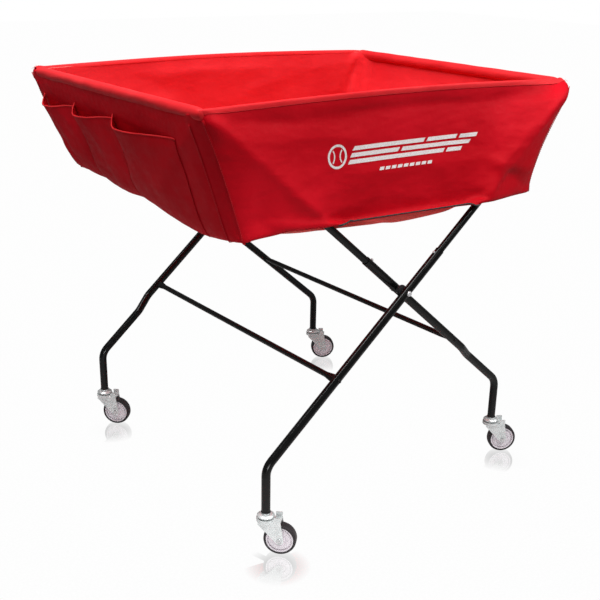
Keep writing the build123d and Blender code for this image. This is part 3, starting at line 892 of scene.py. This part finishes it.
def inner_bag(shell_tree):
    rows = BAG_ROWS + 1
    band = bag_band()
    keep_inside(band, shell_tree)
    points = [Vector(p) for p in band.reshape(-1, 3)]
    faces = band_faces(BAG_COLUMNS, rows)
    index, edge = {}, {}
    grid = [(i, j) for i in range(BAG_FRONT + 1) for j in range(BAG_END + 1)]
    for i, j in grid:
        if i in (0, BAG_FRONT) or j in (0, BAG_END):
            index[i, j] = bag_ring_index(i, j) * rows
            edge[i, j] = points[index[i, j]]
    for i, j in grid:
        if (i, j) not in index:
            index[i, j] = len(points)
            points.append(bag_floor_point(i, j, edge))
    for i in range(BAG_FRONT):
        for j in range(BAG_END):
            faces.append((index[i, j], index[i, j + 1], index[i + 1, j + 1], index[i + 1, j]))
    points = [p + Vector((0, MID_Y, 0)) for p in points]
    uvs = arc_uvs(band) + [(p.x, p.y) for p in points[BAG_COLUMNS * rows:]]
    piece = add_mesh("hopper_bag", points, faces, BACKLIT_BAG_RED, uvs=uvs)
    piece.data.materials.append(LIT_INNER_RED)
    smoothing = piece.modifiers.new("ease", "SMOOTH")
    smoothing.factor, smoothing.iterations = 0.5, 2
    thicken(piece, CLOTH)
    piece.modifiers["thickness"].material_offset = 1
    return piece


# ---- trims that lie on the shell -----------------------------------------------------------------
def normal_at(points, column, row):
    """The shell's outward normal at a grid point."""
    column %= COLUMNS
    round_it = Vector(points[(column + 1) % COLUMNS, row] - points[(column - 1) % COLUMNS, row])
    up = Vector(points[column, min(row + 1, SHELL_ROWS)] - points[column, max(row - 1, 0)])
    return round_it.cross(up).normalized()


def shell_path(points, places, lift):
    """Shell points at (column, row) places, lifted off the cloth, with their normals."""
    normals = [normal_at(points, column, row) for column, row in places]
    path = [Vector(points[c % COLUMNS, r]) + n * lift for (c, r), n in zip(places, normals)]
    return path, normals


def join(name, parts):
    """Merges several pieces made here into one."""
    bpy.ops.object.select_all(action="DESELECT")
    for part in parts:
        part.select_set(True)
    bpy.context.view_layer.objects.active = parts[0]
    bpy.ops.object.join()
    parts[0].name = name
    return parts[0]


def ribbon(name, lines, look, thickness=CLOTH):
    """A cloth ribbon through equal lines of points, thickened and rounded."""
    across = len(lines[0])
    points = [p for line in lines for p in line]
    faces = []
    for k in range(len(lines) - 1):
        for i in range(across - 1):
            faces.append((k * across + i, k * across + i + 1, (k + 1) * across + i + 1, (k + 1) * across + i))
    distance, uvs = 0.0, []
    for k, line in enumerate(lines):
        distance += (line[0] - lines[max(k - 1, 0)][0]).length
        rise = 0.0
        for i, p in enumerate(line):
            rise += (p - line[max(i - 1, 0)]).length
            uvs.append((distance, rise))
    piece = add_mesh(name, points, faces, look, uvs=uvs)
    thicken(piece, thickness)
    return piece


def rim_hem(name, points, first, last):
    """The hem folded over the top edge from the outside to the inside, with its row of stitches."""
    fold_over = ((0.0018, -0.0010), (0.0004, 0.0014), (-0.0022, 0.0016), (-0.0042, 0.0), (-0.0048, -0.0085))
    lines = []
    for column in range(first, last + 1):
        top = Vector(points[column % COLUMNS, SHELL_ROWS])
        out = normal_at(points, column, SHELL_ROWS)
        out = Vector((out.x, out.y, 0)).normalized()
        lower, _ = shell_path(points, [(column, SHELL_ROWS - 1)], 0.0010)
        lines.append(lower + [top + out * away + Vector((0, 0, up)) for away, up in fold_over])
    hem = ribbon(name, lines, SHEEN_HEM_RED, 0.0010)
    places = [(c, SHELL_ROWS - 1) for c in range(first, last + 1)]
    path, normals = shell_path(points, places, 0.0018)
    path = [p + Vector((0, 0, 0.0012)) for p in path]
    row = stitches(name + "_row", path, normals, THREAD)
    return hem, row


def corner_seams(points):
    """Two felled seams at every corner: one on the corner, one round on the end panel."""
    made = []
    round_corner = {"front_left": -3, "front_right": 3, "rear_right": -3, "rear_left": 3}
    for corner, column in SEAM_COLUMNS.items():
        for offset in (0, round_corner[corner]):
            places = [(column + offset, r) for r in range(SHELL_ROWS - 1)]
            path, normals = shell_path(points, places, 0.0009)
            made.append(strip("seam_" + corner, path, normals, 0.0050, 0.0008, SHADED_OUTER_RED))
            path, normals = shell_path(points, places, 0.0016)
            made.append(stitches("seam_row", path, normals, THREAD))
    return join("corner_seams", made)


def edge_tape(points):
    """Black binding along the bottom edge of the front and rear panels, between the legs."""
    made = []
    for first in (0, FRONT_CELLS + END_CELLS):
        places = [(c, 0) for c in range(first, first + FRONT_CELLS) if abs(points[c, 0, 0]) < BINDING_X]
        path, normals = shell_path(points, places, 0.0)
        path = [p + Vector((0, 0, 0.0012)) for p in path]
        made.append(strip("tape", path, normals, 0.0044, 0.0022, BLACK_TAPE))
    return join("edge_tape", made)


def bottom_hem(points):
    """The turned-up hem round the rest of the shell's bottom edge."""
    made = []
    lengthwise = {0: 1, FRONT_CELLS + END_CELLS: 1, FRONT_CELLS: 0, 2 * FRONT_CELLS + END_CELLS: 0}
    for first, is_long in lengthwise.items():
        cells = FRONT_CELLS if is_long else END_CELLS
        places = [(c, 0) for c in range(first, first + cells + 1)]
        runs = [places]
        if is_long:
            bare = [abs(points[c % COLUMNS, 0, 0]) >= BINDING_X - 0.004 for c, _ in places]
            turn = bare.index(False)
            back = len(bare) - bare[::-1].index(False)
            runs = [places[:turn + 1], places[back - 1:]]
        for run in runs:
            path, normals = shell_path(points, run, 0.0)
            path = [p + Vector((0, 0, 0.003)) for p in path]
            made.append(strip("bottom_hem", path, normals, 0.0075, 0.0024, SHADED_OUTER_RED))
    return join("bottom_hem", made)


# ---- end pockets -----------------------------------------------------------------------------------
POCKET_SPANS = ((0.300, 0.152), (0.152, -0.022), (-0.022, -0.266))
POCKET_FOOT_ROW = 1.0
POCKET_MOUTH_ROWS = (27.0, 26.0)
POCKET_GAPE = 0.026
POCKET_DIP = 3.4
POCKET_DIP_AT = 0.16


def end_panel_point(points, y, row):
    """A point on the left end panel by its distance along Y and a fractional row, with the normal."""
    first = 2 * FRONT_CELLS + END_CELLS
    share = clamp((CORNER_Y + 0.006 - y) / (2 * CORNER_Y + 0.012))
    column = first + share * END_CELLS
    c, r = int(column), min(int(row), SHELL_ROWS - 1)
    fc, fr = column - c, row - r
    here = lerp(lerp(points[c % COLUMNS, r], points[(c + 1) % COLUMNS, r], fc),
                lerp(points[c % COLUMNS, r + 1], points[(c + 1) % COLUMNS, r + 1], fc), fr)
    return Vector(here), normal_at(points, c, r)


def pocket(points, number, y_from, y_to):
    """One pocket sewn down at its sides and foot, its mouth gaping, with a hem round the mouth."""
    across, up = 20, 20
    lines = []
    for i in range(across + 1):
        a = i / across
        bell = math.sin(math.pi * a) ** 0.8 if 0 < a < 1 else 0.0
        sag = math.sin(a / POCKET_DIP_AT * math.pi / 2) if a < POCKET_DIP_AT else (1 - smooth((a - POCKET_DIP_AT) / 0.9))
        mouth_row = lerp(*POCKET_MOUTH_ROWS, a) - POCKET_DIP * sag
        line = []
        for j in range(up + 1):
            t = j / up
            row = lerp(POCKET_FOOT_ROW, mouth_row, t)
            base, normal = end_panel_point(points, lerp(y_from, y_to, a), row)
            gape = POCKET_GAPE * sag * t ** 3
            puff = 0.006 * bell * math.sin(math.pi * t) ** 0.8
            slant = a - 0.45 * (1 - t)
            fold = 0.009 * (0.5 - abs(ripple(slant * 4.2, t * 0.7, 90.0 + number))) * bell * math.sin(math.pi * t) ** 0.6
            out = Vector((-0.96, 0, 0.28)) if t > 0.5 else normal
            line.append(base + normal * 0.0016 + out * (gape + puff + fold))
        lines.append(line)
    sheet = ribbon("pocket_%d" % number, lines, SHADED_OUTER_RED)
    mouth = [line[-1] for line in lines]
    hem = strip("mouth", mouth, [Vector((-1, 0, 0.25))] * len(mouth), 0.0032, 0.0018, SHEEN_HEM_RED)
    rows = []
    for line in (lines[0], lines[-1]):
        path = [p + Vector((-0.0011, 0, -0.0003)) for p in line]
        rows.append(stitches("pocket_row", path, [Vector((-0.9, 0, -0.4)).normalized()] * len(path), THREAD))
    return sheet, [hem, *rows]


def end_pockets(points):
    sheets, trims = [], []
    for number, (y_from, y_to) in enumerate(POCKET_SPANS):
        sheet, trim = pocket(points, number, y_from, y_to)
        sheets.append(sheet)
        trims += trim
    return sheets, join("pocket_trim", trims)


# ---- generic print ---------------------------------------------------------------------------------
def print_patch(outline, shell_tree, cells):
    """A four-sided patch of ink laid on the front panel: outline(a, b) gives x and z."""
    points, faces = [], []
    for i in range(cells[0] + 1):
        for j in range(cells[1] + 1):
            x, z = outline(i / cells[0], j / cells[1])
            hit, normal, _, _ = shell_tree.ray_cast(Vector((x, -0.7, z)), Vector((0, 1, 0)))
            points.append(hit + normal * math.copysign(0.0012, -normal.y))
    for i in range(cells[0]):
        for j in range(cells[1]):
            k = i * (cells[1] + 1) + j
            faces.append((k, k + 1, k + cells[1] + 2, k + cells[1] + 1))
    return add_mesh("ink", points, faces, INK)


def ring_outline(x, z, inner_r, outer_r, start, sweep):
    def outline(a, b):
        angle = start + sweep * a
        radius = lerp(inner_r, outer_r, b)
        return x + radius * math.cos(angle), z + radius * math.sin(angle)
    return outline


def bar_outline(x_from, x_to, z_low, z_high, lean):
    def outline(a, b):
        return lerp(x_from, x_to, a) + lean * b, lerp(z_low, z_high, b)
    return outline


def front_print(shell_tree):
    """A generic mark: a ball with two seams, and speed bars behind it."""
    ball_x, ball_z, ball_r = -0.178, 0.812, 0.024
    made = [print_patch(ring_outline(ball_x, ball_z, ball_r - 0.0048, ball_r, 0, math.tau), shell_tree, (48, 2))]
    for side in (-1, 1):
        start = math.radians(140) if side > 0 else math.radians(-40)
        seam = ring_outline(ball_x + side * 0.026, ball_z, 0.0175, 0.0205, start, math.radians(80))
        made.append(print_patch(seam, shell_tree, (14, 1)))
    bars = ((-0.140, 0.050, 2), (0.058, 0.140, 2), (0.148, 0.196, 2),
            (-0.146, -0.020, 1), (-0.012, 0.176, 1), (-0.152, 0.104, 0), (0.112, 0.152, 0))
    for x_from, x_to, level in bars:
        low = 0.794 + level * 0.0130
        cells = (max(4, int((x_to - x_from) / 0.006)), 2)
        made.append(print_patch(bar_outline(x_from, x_to, low, low + 0.0082, 0.006), shell_tree, cells))
    for k in range(9):
        x_from = -0.072 + k * 0.0162
        made.append(print_patch(bar_outline(x_from, x_from + 0.0118, 0.7745, 0.7805, 0.003), shell_tree, (3, 1)))
    return join("front_print", made)


# ---- rail sleeves ------------------------------------------------------------------------------------
def rail_sleeve(name, side):
    """The cloth rolled round a rail: slightly lumpy, closed and tucked at the corners."""
    length = 2 * (CORNER_Y + 0.001)
    rings = []
    count, sides = 90, 20
    for k in range(count + 1):
        s = k / count
        y = MID_Y - length / 2 + length * s
        end = min(s, 1 - s) * length
        tuck = smooth(end / 0.018)
        ring = []
        for turn in range(sides):
            angle = turn * math.tau / sides
            radius = 0.0118 + 0.0008 * ripple(y * 18, math.cos(angle), math.sin(angle) + side * 4)
            radius *= lerp(0.72, 1.0, tuck)
            droop = 1.0 + 0.20 * max(0.0, -math.sin(angle))
            x = side * RAIL_X + radius * math.cos(angle)
            z = RAIL_Z + radius * math.sin(angle) * droop
            ring.append(Vector((x, y, z)))
        rings.append(ring)
    sleeve = loft(name, rings, SHEEN_HEM_RED)
    rounded = sleeve.modifiers.new("rounding", "SUBSURF")
    rounded.levels = rounded.render_levels = 1
    return sleeve


def leg_channel(name, turn, depth):
    """The thin cloth channel round an upper leg inside the hopper, hidden until the cart is folded."""
    rings = []
    sides = 14
    line = channel_line(turn, depth)
    for k, point in enumerate(line):
        ahead = (line[min(k + 1, len(line) - 1)] - line[max(k - 1, 0)]).normalized()
        side = ahead.cross(Vector((1, 0, 0))).normalized()
        other = ahead.cross(side)
        ring = []
        for step in range(sides):
            angle = step * math.tau / sides
            radius = CHANNEL_R + 0.0003 * ripple(k * 0.6, math.cos(angle) * 2, math.sin(angle) * 2)
            ring.append(point + radius * (side * math.cos(angle) + other * math.sin(angle)))
        rings.append(ring)
    return loft(name, rings, SHADED_OUTER_RED, caps=False)


def channel_line(turn, depth):
    """The middle line of one upper leg from its bend at the rail to the hopper's foot."""
    path, _ = leg_path(turn, depth)
    folded_foot = RAIL_Z - (RAIL_Z - BOTTOM_Z) * math.sin(TILT) / math.sin(TILT + FULL_FOLD)
    return [Vector(p) + Vector((0, MID_Y, 0)) for p in path if p[2] > folded_foot]


# ---- build the cloth and hang it on the bodies ---------------------------------------------------------
shell, SHELL, SHELL_TREE = outer_shell()
bag = inner_bag(SHELL_TREE)
seams = corner_seams(SHELL)
front_hem, front_row = rim_hem("hem_front_cloth", SHELL, 0, FRONT_CELLS)
rear_hem, rear_row = rim_hem("hem_rear_cloth", SHELL, FRONT_CELLS + END_CELLS, 2 * FRONT_CELLS + END_CELLS)
hem_rows = join("hem_rows", [front_row, rear_row])
tape = edge_tape(SHELL)
low_hem = bottom_hem(SHELL)
pockets, pocket_trim = end_pockets(SHELL)
mark = front_print(SHELL_TREE)
left_sleeve = rail_sleeve("sleeve_left", -1)
right_sleeve = rail_sleeve("sleeve_right", 1)

soft = [shell, bag, seams, front_hem, rear_hem, hem_rows, tape, low_hem, pocket_trim, mark, *pockets]
for piece in soft:
    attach(piece, "basket")
    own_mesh(piece)
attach(left_sleeve, "frame_b")
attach(right_sleeve, "frame_a")
for leg, (turn, depth) in LEGS.items():
    channel = leg_channel("leg_channel_" + leg, turn, depth)
    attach(channel, "frame_" + leg[0])

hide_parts("panel_front", "panel_rear", "panel_left", "panel_right")
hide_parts("hopper_floor")
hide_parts("hem_front")
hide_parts("hem_rear")
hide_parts(*BINDINGS)
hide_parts("pocket_strip")
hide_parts("rail_sleeve_b")
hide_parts("rail_sleeve_a")

# ---- finishes on the CAD pieces ------------------------------------------------------------------------
NODE_SLOTS = {part["node"]: part["material_slot"] for part in frame["record"]["subparts"]}
for node, piece in frame["nodes"].items():
    look = SLOT_LOOKS.get(NODE_SLOTS[node])
    if look is None:
        continue
    piece.data.materials.clear()
    piece.data.materials.append(look)


# ---- floor, light and camera ---------------------------------------------------------------------------
FILL = 0.18


def floor_look():
    """Pale floor: white to the camera with a faint mirror; grey to the light it bounces, painted paler round
    each wheel so that it throws more light onto the casters.
    """
    look = Look("pale_floor")
    near_wheel, wheel_bounce_pool = 0.0, 0.0
    for node in sorted(n for n in frame["nodes"] if n.startswith("caster_tyre")):
        x, y = middle(node, 0) - 0.035, middle(node, 1) - 0.040
        away = look.node("ShaderNodeVectorMath", {0: look.place(), 1: (x, y, 0.0)}, 1, operation="DISTANCE")
        near_wheel = look.math("MAXIMUM", near_wheel, look.spread(away, 0.025, 0.070, 1.0, 0.0))
        wheel_bounce_pool = look.math("MAXIMUM", wheel_bounce_pool, look.spread(away, 0.12, 0.40, 1.0, 0.0))
    grain = look.noise(180.0, 3.0)
    tint = look.mix(look.spread(grain, 0.3, 0.7), (0.975, 0.975, 0.975, 1), (1.0, 1.0, 1.0, 1))
    glow = look.node("ShaderNodeEmission", {"Color": tint, "Strength": 1.0})
    mirror = look.node("ShaderNodeBsdfGlossy", {"Color": (0.95, 0.95, 0.95, 1), "Roughness": 0.0})
    facing = look.node("ShaderNodeLayerWeight", {"Blend": 0.5}, 1)
    share = look.math("MULTIPLY", near_wheel, look.spread(facing, 0.15, 0.42, 0.0, 0.34))
    seen = look.node("ShaderNodeMixShader", {0: share, 1: glow, 2: mirror})
    # Painted light: the bounce colour is paler round each wheel, to light the casters more.
    lit = look.mix(wheel_bounce_pool, (0.35, 0.35, 0.35, 1), (0.70, 0.70, 0.70, 1))
    bounce = look.node("ShaderNodeBsdfDiffuse", {"Color": lit})
    camera_ray = look.node("ShaderNodeLightPath")
    return look.finish(look.node("ShaderNodeMixShader", {0: camera_ray, 1: bounce, 2: seen}))


def pale_floor():
    """A wide floor that drops with the feet as the frame folds."""
    size = 14.0
    corners = [(-size, -size, 0), (size, -size, 0), (size, size, 0), (-size, size, 0)]
    floor = add_mesh("floor", corners, [(0, 1, 2, 3)], floor_look(), shade_smooth=False)
    foot_x = abs(middle("caster_stem_a_outer", 0))
    reach = math.hypot(foot_x, PIVOT_Z - 0.002)
    rest_angle = math.atan2(PIVOT_Z, foot_x)
    driver = floor.driver_add("location", 2).driver
    driver.type = "SCRIPTED"
    turn = driver.variables.new()
    turn.name = "turn"
    turn.type = "TRANSFORMS"
    turn.targets[0].id = frame["bodies"]["frame_a"]
    turn.targets[0].transform_type = "ROT_Y"
    driver.expression = "%.5f - %.5f * sin(%.5f + abs(turn)) - 0.001" % (PIVOT_Z, reach, rest_angle)
    return floor


def area_light(name, where, aim, width, height, power, colour=(1, 1, 1)):
    data = bpy.data.lights.new(name, "AREA")
    data.shape = "RECTANGLE"
    data.size, data.size_y = width, height
    data.energy = power
    data.color = colour
    lamp = bpy.data.objects.new(name, data)
    lamp.location = where
    lamp.rotation_mode = "QUATERNION"
    lamp.rotation_quaternion = (Vector(aim) - Vector(where)).to_track_quat("-Z", "Y")
    bpy.context.scene.collection.objects.link(lamp)


def low_spot(where, aim, cone, power):
    """A soft frontal spot that stays below the hopper and reaches the casters."""
    data = bpy.data.lights.new("low_spot", "SPOT")
    data.spot_size = math.radians(cone)
    data.spot_blend = 0.5
    data.shadow_soft_size = 0.25
    data.energy = power
    lamp = bpy.data.objects.new("low_spot", data)
    lamp.location = where
    lamp.rotation_mode = "QUATERNION"
    lamp.rotation_quaternion = (Vector(aim) - Vector(where)).to_track_quat("-Z", "Y")
    bpy.context.scene.collection.objects.link(lamp)


def soft_world():
    """Even studio fill: white behind the object, softer as light."""
    world = bpy.data.worlds.new("studio")
    bpy.context.scene.world = world
    world.use_nodes = True
    tree = world.node_tree
    tree.nodes.clear()
    rays = tree.nodes.new("ShaderNodeLightPath")
    back = tree.nodes.new("ShaderNodeBackground")
    back.inputs["Color"].default_value = (1, 1, 1, 1)
    fill = tree.nodes.new("ShaderNodeBackground")
    fill.inputs["Color"].default_value = (1, 1, 1, 1)
    fill.inputs["Strength"].default_value = FILL
    mixer = tree.nodes.new("ShaderNodeMixShader")
    out = tree.nodes.new("ShaderNodeOutputWorld")
    past_floor = tree.nodes.new("ShaderNodeMath")
    past_floor.operation = "MAXIMUM"
    tree.links.new(rays.outputs["Is Camera Ray"], past_floor.inputs[0])
    tree.links.new(rays.outputs["Is Singular Ray"], past_floor.inputs[1])
    tree.links.new(past_floor.outputs[0], mixer.inputs[0])
    tree.links.new(fill.outputs[0], mixer.inputs[1])
    tree.links.new(back.outputs[0], mixer.inputs[2])
    tree.links.new(mixer.outputs[0], out.inputs["Surface"])


def photo_camera():
    """The camera, level with the photograph's view: yaw, pitch and roll about its own axes."""
    yaw, pitch, roll = -0.6572, 0.3687, -0.0233
    focal, centre_x, centre_y, side = 989.9, 312.3, 330.1, 600.0
    right = Vector((math.cos(yaw), math.sin(yaw), 0))
    ahead = Vector((-math.sin(yaw) * math.cos(pitch), math.cos(yaw) * math.cos(pitch), -math.sin(pitch)))
    down = ahead.cross(right)
    rolled = right * math.cos(roll) + down * math.sin(roll)
    rolled_down = down * math.cos(roll) - right * math.sin(roll)
    data = bpy.data.cameras.new("camera")
    data.sensor_width = 36.0
    data.lens = data.sensor_width * focal / side
    data.shift_x = (side / 2 - centre_x) / side
    data.shift_y = (centre_y - side / 2) / side
    camera = bpy.data.objects.new("camera", data)
    turn = Matrix((rolled, -rolled_down, -ahead)).transposed()
    camera.matrix_world = Matrix.Translation((-1.3819, -1.8616 + MID_Y, 1.1905)) @ turn.to_4x4()
    bpy.context.scene.collection.objects.link(camera)
    bpy.context.scene.camera = camera


pale_floor()
soft_world()
area_light("overhead", (-0.75, 0.1, 2.9), (0, 0, 0.7), 1.6, 1.6, 84)
area_light("front_key", (0.3, -2.2, 3.3), (0, 0, 0.7), 0.6, 0.6, 66)
area_light("right_key", (2.3, -1.7, 2.2), (0, 0, 0.75), 0.8, 1.0, 22)
low_spot((-1.6, -2.2, 0.55), (0.0, 0.0, 0.0), 30.0, 70)
photo_camera()
bpy.context.scene.view_settings.view_transform = "Standard"
